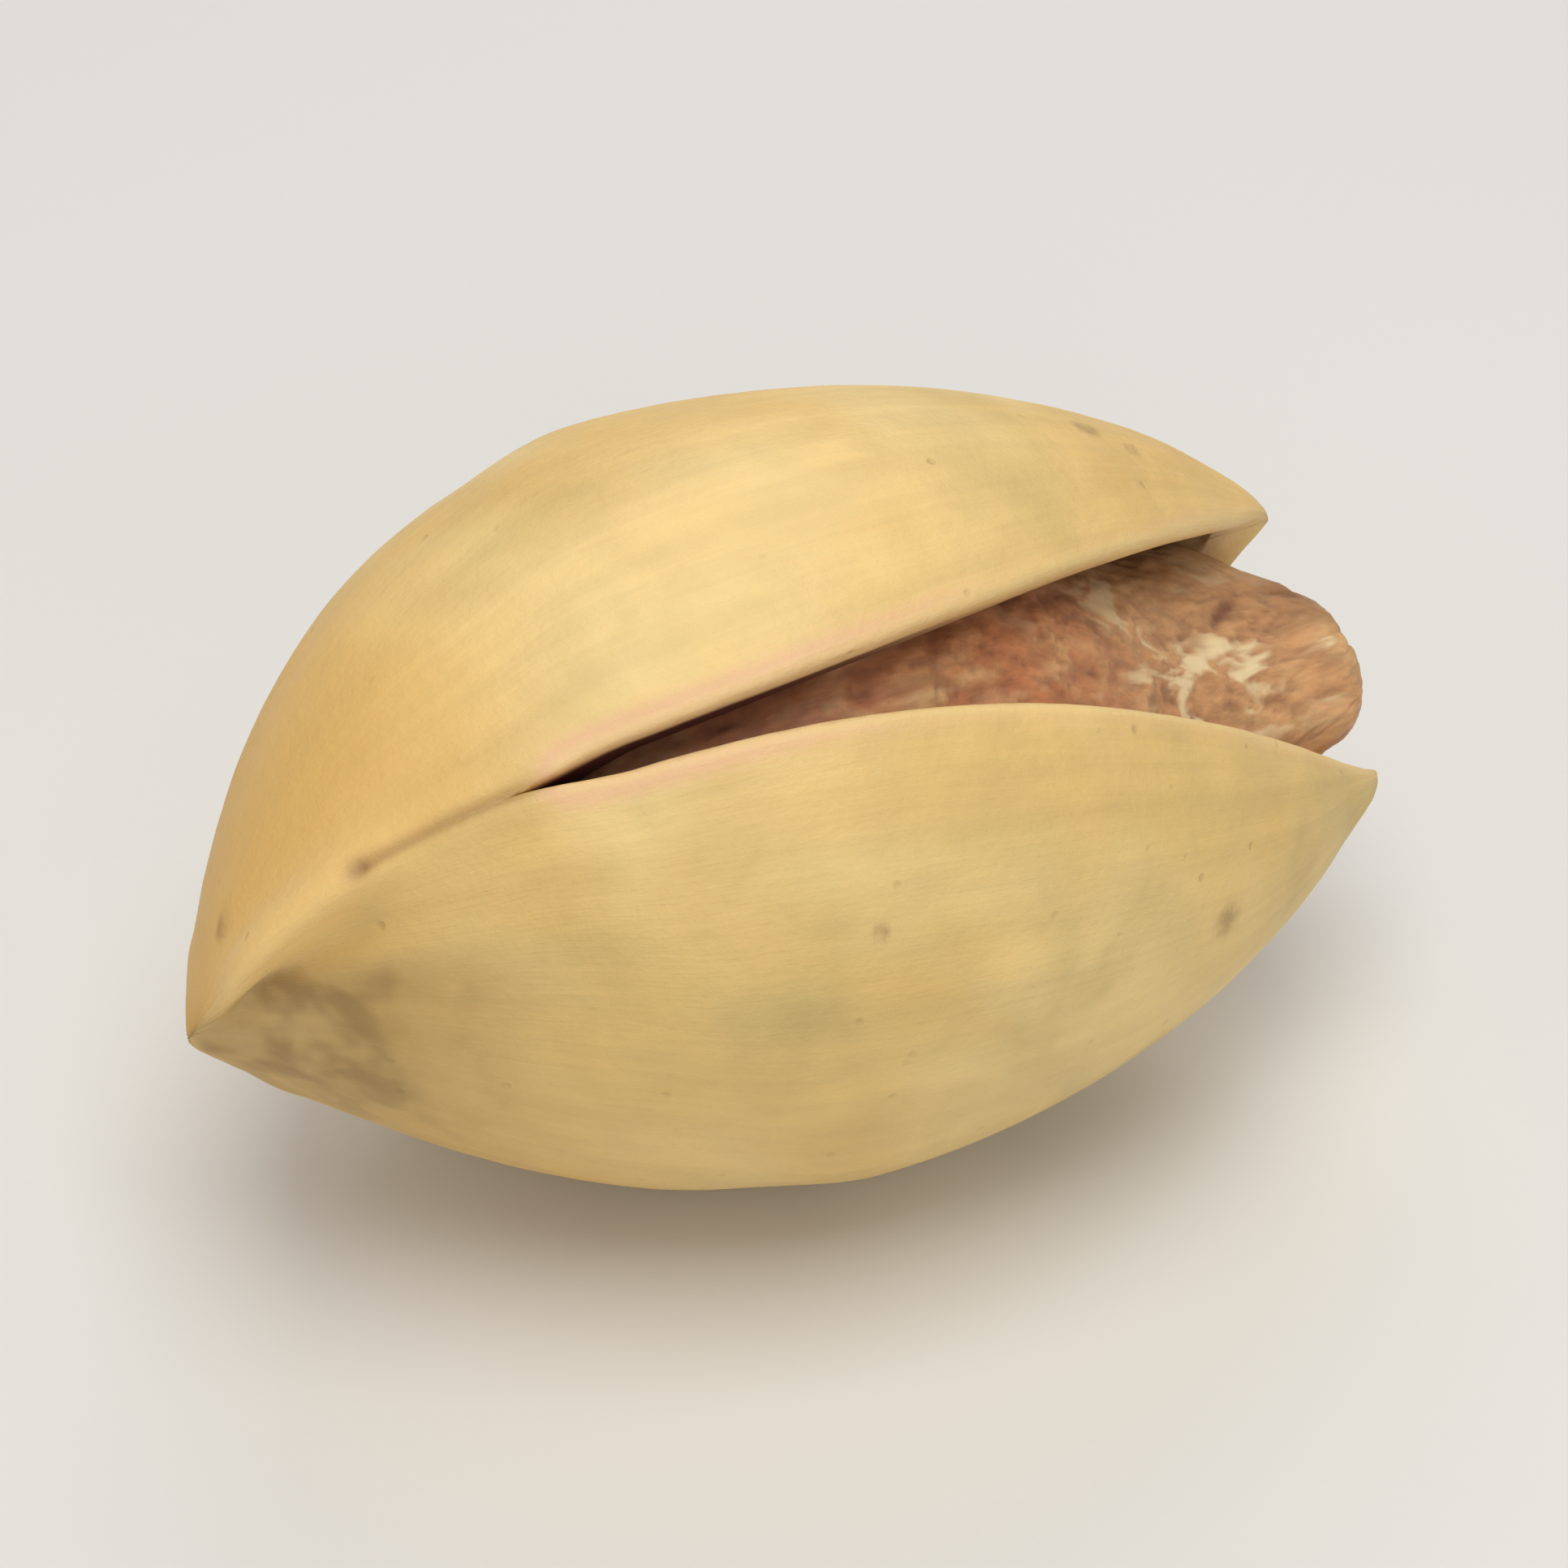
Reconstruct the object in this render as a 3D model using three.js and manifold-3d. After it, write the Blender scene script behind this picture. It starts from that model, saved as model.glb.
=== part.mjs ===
// A pistachio in its half-open shell: the hard shell, whose two valves are still grown together
// round the base and down the back, and the kernel lying loose inside it.
// Millimetres, +Z up. The nut lies at rest on the flank of its lower valve: the base end is
// towards -X, the split tip towards +X, and the split faces front and up.
import * as THREE from "three";
import Module from "manifold-3d";
import { ParametricGeometry } from "three/addons/geometries/ParametricGeometry.js";
import { mergeGeometries, mergeVertices } from "three/addons/utils/BufferGeometryUtils.js";

// ---- Shell: the nut's own frame has X from base to tip, Y across the seam, Z to the split side.
const BASE_LENGTH = 9.3; // from the fullest station back to the base
const TIP_LENGTH = 10.9; // from the fullest station out to the tip
const HALF_WIDTH = 6.45; // in the plane of the seam
const UPPER_BULGE = 6.6; // greatest half thickness of the upper valve
const LOWER_BULGE = 6.2; // and of the lower one
const WIDTH_ROUND = { base: 0.95, tip: 2.03 }; // 1 is an ellipse, more is more pointed
const UPPER_ROUND = { base: 1.4, tip: 1.4 };
const LOWER_ROUND = { base: 1.58, tip: 1.8 };
const END_ROUND = 1.2; // the very tip is blunter
const UPPER_SKEW = 0.14; // the upper valve is fuller towards the base,
const LOWER_SKEW = -0.03; // the lower one towards the tip
const NOSE = 0.67; // the blunt beak the base draws out to,
const NOSE_SAG = 0.88; // bent towards the lower valve,
const NOSE_SPREAD = 0.48; // and how far round the base it reaches, in radians
const KEEL_HEIGHT = 0.3; // ridge along the grown-together seam by the base
const KEEL_SPREAD = 0.2; // its half width, in radians round the section
const HOLLOW_DEPTH = 0.4; // hollow in the lower valve beside that ridge

const WALL = 0.9; // shell thickness at the fullest station
const BASE_WALL = 1.4;
const TIP_WALL = 1.2;

// ---- Split: it runs from the split side of the seam round the tip and part of the way back.
const SPLIT_FRONT = -6.15; // where the split starts on the split side
const SPLIT_BACK = 0.6; // and where it ends down the back
const UPPER_GAPE = 1.92; // how far the tip of each valve swings off the closed seam
const LOWER_GAPE = 2.45;
const UPPER_GAPE_CURVE = 3.37; // 1 is a straight swing, more bends further out
const LOWER_GAPE_CURVE = 2.4;
const SLIT = 0.2; // half width of the slit that comes before that swing
const SLIT_RUN = 2.2; // and how far from its start it is that wide
const JOINED = 0.004; // valves closer than this are still one
const LIP_ROUND = 0.1; // how far the freed edges are rounded

// ---- Kernel
const CLEARANCE = 0.36; // all round, from the inside of the shell
const SWELL = 0.55; // how much of the room made by the opened valves it fills
const KERNEL_REACH = 2.1; // its tip is drawn out past the valves by this much more than the hollow
const BLUNTNESS = 0.45; // of that tip
const KERNEL_SAG = 0.62; // how far its tip leans to the lower valve

// ---- Rest pose
const SPLIT_UP = 54; // degrees that the split side is turned up from level
const TIP_UP = 1; // degrees that the tip is raised
const PRESS = 0.25; // the flank it lies on is flat to this depth

// ---- Mesh steps
const LONG_STEPS = 44; // base to tip
const ROUND_STEPS = 15; // half way round, back seam to split seam
const LIP_STEPS = 2;
const KERNEL_LONG_STEPS = 36;
const KERNEL_ROUND_STEPS = 24;

const { smoothstep, lerp, degToRad } = THREE.MathUtils;

// A swelling that is `base` near one end, `tip` near the other and blends between.
function roundness(round, along) {
  const blend = lerp(round.base, round.tip, smoothstep(along, 0.25, 0.75));
  return lerp(blend, END_ROUND, smoothstep(along, 0.88, 1));
}

// A point of one closed valve. along: 0 base to 1 tip; around: 0 back seam to 1 split seam;
// side: +1 upper valve, -1 lower valve; depth: 0 outer face to 1 inner face.
function closedValve(along, around, side, depth, target) {
  const phi = Math.PI * along;
  const turn = Math.PI * around;
  const level = -Math.cos(phi);
  const fullness = Math.max(Math.sin(phi), 0);
  const reach = level < 0 ? BASE_LENGTH - depth * BASE_WALL : TIP_LENGTH - depth * TIP_WALL;
  const valve = side > 0
    ? { bulge: UPPER_BULGE, round: UPPER_ROUND, skew: UPPER_SKEW }
    : { bulge: LOWER_BULGE, round: LOWER_ROUND, skew: LOWER_SKEW };
  const width = (HALF_WIDTH - depth * WALL) * fullness ** roundness(WIDTH_ROUND, along);
  const thick = (valve.bulge - depth * WALL) * (1 - valve.skew * level)
    * fullness ** roundness(valve.round, along);

  // The ridge fades out where the split starts, and the hollow lies beside it.
  const outer = Math.max(1 - depth, 0);
  const nearBase = smoothstep(along, 0.04, 0.14) * (1 - smoothstep(along, 0.26, 0.4));
  const ridge = outer * KEEL_HEIGHT * nearBase * Math.exp(-(((Math.PI - turn) / KEEL_SPREAD) ** 2));
  const beside = Math.exp(-(((Math.PI - turn - 0.75) / 0.38) ** 2));
  const hollow = side < 0 ? outer * HOLLOW_DEPTH * nearBase * beside * Math.sin(turn) : 0;

  const nose = outer * Math.exp(-((phi / NOSE_SPREAD) ** 2));
  target.set(
    level * reach - NOSE * nose,
    side * (thick - hollow) * Math.sin(turn) - NOSE_SAG * nose,
    -(width + ridge - hollow) * Math.cos(turn),
  );
}

// How far a valve has swung off the closed seam, from the distance past the line joining the two
// ends of the split.
const acrossHinge = new THREE.Vector2(2 * HALF_WIDTH, SPLIT_BACK - SPLIT_FRONT).normalize();
function pastHinge(x, z) {
  return (x - SPLIT_FRONT) * acrossHinge.x + (z - HALF_WIDTH) * acrossHinge.y;
}
function spread(x, z, side) {
  const past = Math.max(pastHinge(x, z), 0);
  const gape = side > 0 ? UPPER_GAPE : LOWER_GAPE;
  const curve = side > 0 ? UPPER_GAPE_CURVE : LOWER_GAPE_CURVE;
  const swing = gape * (past / pastHinge(TIP_LENGTH, 0)) ** curve;
  const moved = SLIT * smoothstep(past, 0, SLIT_RUN) + swing;
  return moved < JOINED ? 0 : moved;
}

// The same point once the valves have opened; the wall moves with its outer face.
const face = new THREE.Vector3();
function openValve(along, around, side, depth, target) {
  closedValve(along, around, side, 0, face);
  const moved = spread(face.x, face.z, side);
  closedValve(along, around, side, depth, target);
  target.y += side * moved;
  return moved;
}

// The edge of a valve where the split has freed it, rounded from the outer face to the inner one.
const inside = new THREE.Vector3();
function lipPoint(along, around, side, depth, target) {
  openValve(along, around, side, 1, inside);
  const moved = openValve(along, around, side, 0, target);
  target.lerp(inside, depth);
  target.y -= side * Math.min(LIP_ROUND, 0.5 * moved) * Math.sin(Math.PI * depth);
}

// The last step along a seam where the valves are still grown together.
function lastJoined(around) {
  for (let step = LONG_STEPS; step > 0; step -= 1)
    if (openValve(step / LONG_STEPS, around, 1, 0, face) === 0) return step;
  return 0;
}

// A patch of surface; `turned` says that its outside is the other way round.
function patch(pointAt, turned, slices, stacks) {
  const place = (u, v, target) => pointAt(turned ? u : 1 - u, v, target);
  return new ParametricGeometry(place, slices, stacks);
}

// Patches welded into one closed skin, without the empty triangles at the poles.
function weld(patches) {
  const skin = mergeGeometries(patches);
  skin.deleteAttribute("normal");
  skin.deleteAttribute("uv");
  const welded = mergeVertices(skin, 1e-4);
  const kept = [];
  for (let i = 0; i < welded.index.count; i += 3) {
    const [a, b, c] = [0, 1, 2].map((k) => welded.index.getX(i + k));
    if (a !== b && b !== c && c !== a) kept.push(a, b, c);
  }
  welded.setIndex(kept);
  return welded;
}

function shellGeometry() {
  const patches = [];
  for (const side of [1, -1]) {
    const skin = (depth) => (u, v, target) => openValve(u, v, side, depth, target);
    patches.push(patch(skin(0), side < 0, LONG_STEPS, ROUND_STEPS));
    patches.push(patch(skin(1), side > 0, LONG_STEPS, ROUND_STEPS));
    for (const seam of [0, 1]) {
      const start = lastJoined(seam);
      const lip = (u, v, target) =>
        lipPoint(lerp(start, LONG_STEPS, u) / LONG_STEPS, seam, side, v, target);
      patches.push(patch(lip, (side > 0) !== (seam > 0), LONG_STEPS - start, LIP_STEPS));
    }
  }
  return weld(patches);
}

// The kernel fills the hollow, swells into the room between the valves and shows a blunt tip.
function kernelPoint(along, around, target) {
  const side = around < 0.5 ? 1 : -1;
  const halfRound = side > 0 ? 2 * around : 2 - 2 * around;
  const fullness = Math.max(Math.sin(Math.PI * along), 0);
  closedValve(along, halfRound, side, 1 + CLEARANCE / WALL, target);
  const room = SWELL * spread(target.x, target.z, side) * Math.sqrt(fullness);
  const blunt = Math.max(fullness, 1e-3) ** (-BLUNTNESS * smoothstep(along, 0.7, 0.95));
  target.y = blunt * target.y + side * room * Math.sin(Math.PI * halfRound);
  target.y -= KERNEL_SAG * smoothstep(along, 0.5, 1);
  target.z *= blunt;
  target.x += KERNEL_REACH * smoothstep(along, 0.78, 1);
}

function kernelGeometry() {
  return weld([patch(kernelPoint, false, KERNEL_LONG_STEPS, KERNEL_ROUND_STEPS)]);
}

// Turns the nut's own frame into the way it lies: split side up and forward, tip a little raised.
const lie = new THREE.Matrix4().makeRotationX(degToRad(90 - SPLIT_UP));
lie.premultiply(new THREE.Matrix4().makeRotationY(-degToRad(TIP_UP)));

const shell = shellGeometry().applyMatrix4(lie);
const kernel = kernelGeometry().applyMatrix4(lie);

// The flank it lies on is cut flat, and the middle of that flat is the origin.
const wasm = await Module();
wasm.setup();

function solidOf(geometry) {
  const vertProperties = geometry.getAttribute("position").array;
  const triVerts = new Uint32Array(geometry.index.array);
  return new wasm.Manifold(new wasm.Mesh({ numProp: 3, vertProperties, triVerts }));
}

shell.computeBoundingBox();
const ground = shell.boundingBox.min.z + PRESS;
const slab = new THREE.BoxGeometry(4 * TIP_LENGTH, 4 * TIP_LENGTH, 2).translate(0, 0, ground - 1);
slab.deleteAttribute("normal");
slab.deleteAttribute("uv");
const cut = solidOf(shell).subtract(solidOf(mergeVertices(slab))).getMesh();
const pressed = new THREE.BufferGeometry();
pressed.setAttribute("position", new THREE.BufferAttribute(cut.vertProperties, 3));
pressed.setIndex(new THREE.BufferAttribute(cut.triVerts, 1));

const flat = new THREE.Box3();
const corner = new THREE.Vector3();
for (let i = 0; i < pressed.getAttribute("position").count; i += 1) {
  corner.fromBufferAttribute(pressed.getAttribute("position"), i);
  if (corner.z < ground + 1e-4) flat.expandByPoint(corner);
}
const middle = flat.getCenter(new THREE.Vector3());

const nut = new THREE.Group();
nut.position.set(-middle.x, -middle.y, -ground);

function addPiece(name, geometry, colour, roughness) {
  geometry.computeVertexNormals();
  const material = new THREE.MeshStandardMaterial({ color: colour, roughness, metalness: 0 });
  const mesh = new THREE.Mesh(geometry, material);
  mesh.name = name;
  nut.add(mesh);
}

addPiece("shell", pressed, 0xe0c288, 0.45);
addPiece("kernel", kernel, 0x9a6544, 0.6);

const part = new THREE.Group();
part.add(nut);

export default part;
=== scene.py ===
import math

import bmesh
import bpy
import numpy as np
from bpy.props import FloatProperty, FloatVectorProperty, IntProperty, PointerProperty
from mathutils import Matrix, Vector


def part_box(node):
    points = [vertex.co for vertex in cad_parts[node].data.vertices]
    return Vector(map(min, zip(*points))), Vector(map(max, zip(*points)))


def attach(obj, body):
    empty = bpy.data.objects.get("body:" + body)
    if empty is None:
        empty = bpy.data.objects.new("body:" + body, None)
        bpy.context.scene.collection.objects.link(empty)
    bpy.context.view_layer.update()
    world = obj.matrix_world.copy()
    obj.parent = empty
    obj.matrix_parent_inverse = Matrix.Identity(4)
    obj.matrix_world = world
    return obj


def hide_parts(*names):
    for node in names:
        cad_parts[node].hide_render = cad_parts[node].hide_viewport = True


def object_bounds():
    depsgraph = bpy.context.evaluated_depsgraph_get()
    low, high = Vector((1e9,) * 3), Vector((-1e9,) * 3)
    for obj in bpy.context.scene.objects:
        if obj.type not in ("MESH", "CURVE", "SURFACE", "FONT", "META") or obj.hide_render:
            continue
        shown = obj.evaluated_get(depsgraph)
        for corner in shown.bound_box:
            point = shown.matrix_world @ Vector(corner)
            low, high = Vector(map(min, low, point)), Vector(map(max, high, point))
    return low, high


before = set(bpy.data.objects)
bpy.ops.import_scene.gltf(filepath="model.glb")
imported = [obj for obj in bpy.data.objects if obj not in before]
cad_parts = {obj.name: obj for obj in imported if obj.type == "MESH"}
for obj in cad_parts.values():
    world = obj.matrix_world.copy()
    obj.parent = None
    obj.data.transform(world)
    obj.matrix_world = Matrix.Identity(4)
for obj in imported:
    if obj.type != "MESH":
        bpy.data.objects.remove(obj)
CAD_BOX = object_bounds()

bl_info = {
    "name": "Pistachio in shell",
    "version": (1, 0, 0),
    "blender": (4, 5, 0),
    "location": "3D View > Sidebar > Pistachio",
    "description": "A pistachio kernel in its half-open shell",
    "category": "Object",
}

MM = 0.001

# The nut's own frame has X from base to tip, Y across the seam and Z to the split side, in mm.
WIDTH_ROUND = (0.95, 2.03)  # base, tip: 1 is an ellipse, more is more pointed
UPPER_ROUND = (1.4, 1.4)
LOWER_ROUND = (1.58, 1.8)
TIP_BLUNT = ((0.84, 1.45), (0.88, 1.2))  # outside, inside: start along the valve, roundness
UPPER_SKEW = 0.14  # the upper valve is fuller towards the base
LOWER_SKEW = -0.03  # and the lower one towards the tip
NOSE = 0.67  # the blunt beak that the base draws out to
NOSE_SAG = 0.88
NOSE_SPREAD = 0.48
NEAR_BASE = (0.04, 0.14, 0.26, 0.40)  # along: the keel and its hollow rise and run out
KEEL_SPREAD = 0.2
HOLLOW_DEPTH = 0.4
HOLLOW_TURN = 0.75  # from the split seam, in radians
HOLLOW_SPREAD = 0.38
SPLIT_FRONT = -6.15  # ends of the split, along X
SPLIT_BACK = 0.6
UPPER_GAPE_CURVE = 3.37  # 1 is a straight swing, more bends further out
LOWER_GAPE_CURVE = 2.4
SLIT = 0.2  # half width of the slit that comes before that swing
SLIT_RUN = 2.2
JOINED = 0.004  # valves closer than this are still one
SPLIT_UP = 54.0  # how the nut lies, in degrees
TIP_UP = 1.0
CREST = (0.24, 0.46)  # height and half width in mm, as in the next five
CRACK = (-0.07, 0.12)
PIT = (-0.10, 0.20)
BESIDE_CREST = (-0.32, 0.60)
BACK_RIDGE = (0.09, 0.40)
BACK_GROOVE = (-0.09, 0.07)
CREST_END = (-8.0, -6.6)  # along X
PIT_X = -7.5  # the pit is at the head of the crack
BESIDE_CREST_AT = 1.15  # mm from the split seam
SCAR_LIP = (0.04, 0.20)  # height in mm, half width in parts of the scar's reach
SCAR_GROOVE = (-0.24, 0.16)
SCAR_SUNK = 0.12
SCAR_MIDDLE = (-9.35, -0.55, -2.0)  # behind the base's beak
SCAR_REACH = (1.6, 1.25, 1.7)
# the marks that colours follow, where there are none
UNMARKED = {"crack": 0.0, "hollow": 0.0, "amber": 0.0, "keel": 0.0, "scar": 3.0, "speck": 0.0}
FAR = 9.0  # mm, further than the colour of a freed edge reaches
ROW_SPREAD = 0.5  # see spread
COLUMN_SPREAD = -0.8
KERNEL_SWELL = 0.55  # how much of the valves' swing the kernel fills
KERNEL_BLUNT = 0.45
SPECKS = (  # along, around, side, radius in mm
    (0.10, 0.80, 1, 0.24),
    (0.72, 0.79, 1, 0.32),
    (0.75, 0.83, 1, 0.20),
    (0.68, 0.74, -1, 0.36),
    (0.48, 0.82, -1, 0.15),
    (0.30, 0.30, 1, 0.30),
    (0.62, 0.42, 1, 0.26),
    (0.58, 0.26, -1, 0.30),
)


# ---------------------------------------------------------------- sizes and colours
def length(name, description, default):
    return FloatProperty(
        name=name, description=description, default=default * MM, min=0, unit="LENGTH"
    )


def colour(name, description, default):
    return FloatVectorProperty(
        name=name, description=description, default=default, size=3, min=0, max=1, subtype="COLOR"
    )


def count(name, description, default, least):
    return IntProperty(name=name, description=description, default=default, min=least)


class ShellSizes(bpy.types.PropertyGroup):
    base_length: length("Base length", "From the fullest station back to the base", 9.3)
    tip_length: length("Tip length", "From the fullest station out to the tip", 10.9)
    half_width: length("Half width", "Half width in the plane of the seam", 6.45)
    upper_bulge: length("Upper bulge", "Greatest half thickness of the upper valve", 6.6)
    lower_bulge: length("Lower bulge", "Greatest half thickness of the lower valve", 6.2)
    wall: length("Wall", "Thickness of the shell at its fullest", 0.9)
    base_wall: length("Base wall", "Thickness of the shell at its base", 1.4)
    tip_wall: length("Tip wall", "Thickness of each valve at its tip, along the nut", 1.2)
    upper_gape: length("Upper gape", "How far the upper tip swings off the closed seam", 1.92)
    lower_gape: length("Lower gape", "How far the lower tip swings off the closed seam", 2.45)
    keel: length("Keel", "Height of the ridge by the base", 0.3)
    edge_round: length("Edge rounding", "Radius of the freed edges", 0.24)
    rib_height: length("Rib height", "Height of the fine ribs along the shell", 0.038)
    dent_height: length("Dent height", "Depth of the broad shallow dents", 0.055)
    grain_height: length("Grain height", "Height of the finest texture", 0.03)


class KernelSizes(bpy.types.PropertyGroup):
    clearance: length("Clearance", "Room between the kernel and the shell", 0.36)
    reach: length("Reach", "How far the tip is drawn out past the hollow", 2.1)
    sag: length("Sag", "How far the tip leans to the lower valve", 0.62)
    shoulder: length("Shoulder", "Rise of the tip under the upper valve", 0.5)
    wrinkle_height: length("Wrinkle height", "Height of the wrinkles along the skin", 0.16)
    crease_height: length("Crease height", "Height of the fine creases in the skin", 0.05)


class Finishes(bpy.types.PropertyGroup):
    shell_cream: colour("Shell", "Main colour of the shell", (0.83, 0.565, 0.205))
    shell_pale: colour("Shell, pale", "Palest parts of the shell", (0.89, 0.66, 0.285))
    shell_grey: colour("Shell, grey-green", "Dull patches of the shell", (0.60, 0.45, 0.165))
    # the keel's yellower colour and a painted highlight on its crest
    keel_tone_and_highlight: colour("Shell, bright", "Crest of the keel", (0.93, 0.62, 0.235))
    shell_amber: colour("Shell, amber", "Warm colour by the base and the keel", (0.80, 0.47, 0.125))
    shell_pink: colour("Shell, pink", "Tinge beside the split", (0.84, 0.50, 0.28))
    shell_stain: colour("Shell, stain", "Specks and the crack", (0.27, 0.125, 0.05))
    # brown of the pores and the mottling, and painted shade in the hollow beside the keel
    shell_brown_and_shade: colour("Shell, brown", "Mottling beside the keel", (0.27, 0.15, 0.038))
    # painted shade: a dark maroon laid on the faces in the narrow split, where there is only shadow
    slit_painted_shade: colour("Shell, maroon", "Inside of the narrow split", (0.10, 0.022, 0.020))
    # the inner face's tan, made darker as painted shade
    shell_inside_and_shade: colour("Shell, inside", "Inner face of the shell", (0.54, 0.33, 0.16))
    scar_pale: colour("Scar, pale", "Pale crust of the stalk scar", (0.64, 0.43, 0.20))
    scar_brown: colour("Scar, brown", "Brown crust of the stalk scar", (0.36, 0.20, 0.08))
    scar_rim: colour("Scar, rim", "Groove round the stalk scar", (0.34, 0.17, 0.06))
    # painted shade for the hollows and veins of the skin
    skin_hollow_shade: colour("Skin, dark", "Hollows of the kernel's skin", (0.15, 0.050, 0.028))
    skin_brown: colour("Skin, brown", "Main colour of the kernel's skin", (0.54, 0.20, 0.080))
    # tan of the tip, and on the crests also a painted highlight
    skin_tan: colour("Skin, tan", "Crests of the kernel's skin", (0.66, 0.385, 0.17))
    skin_cream: colour("Skin, cream", "Where the skin is worn thin", (0.88, 0.69, 0.40))
    # painted shade on the side under the upper valve
    skin_valve_shade: colour("Skin, umber", "The side under the upper valve", (0.24, 0.105, 0.035))
    floor: colour("Floor", "The plain floor", (0.80, 0.79, 0.77))


class MeshSteps(bpy.types.PropertyGroup):
    rows: count("Rows", "Steps from base to tip", 220, 40)
    columns: count("Columns", "Steps half way round, outside", 120, 24)
    inner_columns: count("Inner columns", "Steps half way round, inside", 44, 12)
    lip_columns: count("Lip columns", "Steps across a freed edge", 6, 2)
    kernel_rows: count("Kernel rows", "Steps along the kernel", 260, 40)
    kernel_columns: count("Kernel columns", "Steps round the kernel", 260, 24)


def own_fields(group):
    """The names of a property group's own fields."""
    return [name for name in group.bl_rna.properties.keys() if name not in ("rna_type", "name")]


def in_mm(group):
    """The lengths of a property group, by name, in millimetres."""
    return {name: getattr(group, name) / MM for name in own_fields(group)}


# ---------------------------------------------------------------- the nut's form
def smooth(low, high, x):
    t = np.clip((x - low) / (high - low), 0.0, 1.0)
    return t * t * (3 - 2 * t)


def bell(x, width):
    return np.exp(-((x / width) ** 2))


def spread(steps, ends):
    """Places from 0 to 1, further apart at both ends if ends is above 0, or closer below it."""
    even = np.linspace(0, 1, steps + 1)
    return even + ends * np.sin(2 * math.pi * even) / (2 * math.pi)


def nut_course(along, around, side):
    """Where a point is round and along the nut, for streaks that run lengthwise."""
    angle = side * math.pi * around
    return np.stack([np.cos(angle), np.sin(angle), 3 * along], -1)


def roundness(ends, along, depth):
    main = ends[0] + (ends[1] - ends[0]) * smooth(0.25, 0.75, along)
    start, end = TIP_BLUNT[depth > 0]
    return main + (end - main) * smooth(start, 1, along)


def closed_valve(sizes, along, around, side, depth):
    """Points of a closed valve. along: 0 base to 1 tip; around: 0 back seam to 1 split seam;
    side: 1 upper, -1 lower; depth: 0 outer face, 1 inner face."""
    phi = math.pi * along
    turn = math.pi * around
    level = -np.cos(phi)
    fullness = np.clip(np.sin(phi), 0, None)
    base_reach = sizes["base_length"] - depth * sizes["base_wall"]
    tip_reach = sizes["tip_length"] - depth * sizes["tip_wall"]
    upper = side > 0
    bulge = sizes["upper_bulge"] if upper else sizes["lower_bulge"]
    skew = UPPER_SKEW if upper else LOWER_SKEW
    bulge_round = UPPER_ROUND if upper else LOWER_ROUND
    width = sizes["half_width"] - depth * sizes["wall"]
    width = width * fullness ** roundness(WIDTH_ROUND, along, depth)
    thick = (bulge - depth * sizes["wall"]) * (1 - skew * level)
    thick = thick * fullness ** roundness(bulge_round, along, depth)

    outer = max(1 - depth, 0)
    near_base = smooth(*NEAR_BASE[:2], along) * (1 - smooth(*NEAR_BASE[2:], along))
    ridge = outer * sizes["keel"] * near_base * bell(math.pi - turn, KEEL_SPREAD)
    hollow = 0.0
    if not upper:
        beside = bell(math.pi - turn - HOLLOW_TURN, HOLLOW_SPREAD) * np.sin(turn)
        hollow = outer * HOLLOW_DEPTH * near_base * beside
    nose = outer * bell(phi, NOSE_SPREAD)
    x = level * np.where(level < 0, base_reach, tip_reach) - NOSE * nose
    y = side * (thick - hollow) * np.sin(turn) - NOSE_SAG * nose
    z = -(width + ridge - hollow) * np.cos(turn)
    return np.stack(np.broadcast_arrays(x, y, z), -1)


def swing(sizes, x, z, side):
    """How far a valve has moved off the closed seam there."""
    across = np.array([2 * sizes["half_width"], SPLIT_BACK - SPLIT_FRONT])
    across /= np.linalg.norm(across)

    def past(px, pz):
        return (px - SPLIT_FRONT) * across[0] + (pz - sizes["half_width"]) * across[1]

    gone = np.clip(past(x, z), 0, None)
    gape = sizes["upper_gape"] if side > 0 else sizes["lower_gape"]
    curve = UPPER_GAPE_CURVE if side > 0 else LOWER_GAPE_CURVE
    moved = SLIT * smooth(0, SLIT_RUN, gone) + gape * (gone / past(sizes["tip_length"], 0)) ** curve
    return np.where(moved < JOINED, 0, moved)


def laid_down(points):
    """From the nut's own frame to the way it lies."""
    roll = math.radians(90 - SPLIT_UP)
    tilt = math.radians(TIP_UP)
    x, y, z = points[..., 0], points[..., 1], points[..., 2]
    y, z = y * math.cos(roll) - z * math.sin(roll), y * math.sin(roll) + z * math.cos(roll)
    x, z = x * math.cos(tilt) - z * math.sin(tilt), x * math.sin(tilt) + z * math.cos(tilt)
    return np.stack([x, y, z], -1)


def resting_place(sizes):
    """The shift, in mm, that puts the laid-down shell where the frame has it."""
    along, around = np.meshgrid(np.linspace(0, 1, 121), np.linspace(0, 1, 61), indexing="ij")
    cloud = []
    for side in (1, -1):
        points = closed_valve(sizes, along, around, side, 0)
        points[..., 1] += side * swing(sizes, points[..., 0], points[..., 2], side)
        cloud.append(laid_down(points).reshape(-1, 3))
    cloud = np.concatenate(cloud)
    low, high = (np.array(corner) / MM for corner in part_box("shell"))
    shift = (low + high - cloud.min(0) - cloud.max(0)) / 2
    shift[2] = high[2] - cloud[:, 2].max()
    return shift


def outward(points, side, face):
    """Normals of a grid of points: face is 1 on the outside of the shell, -1 on the inside."""
    normal = np.cross(np.gradient(points, axis=0), np.gradient(points, axis=1)) * -side * face
    size = np.linalg.norm(normal, axis=-1, keepdims=True)
    normal = normal / np.maximum(size, 1e-12)
    for pole, beside in ((0, 1), (-1, -2)):
        mean = normal[beside].mean(0)
        normal[pole] = mean / np.linalg.norm(mean)
    return normal


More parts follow.
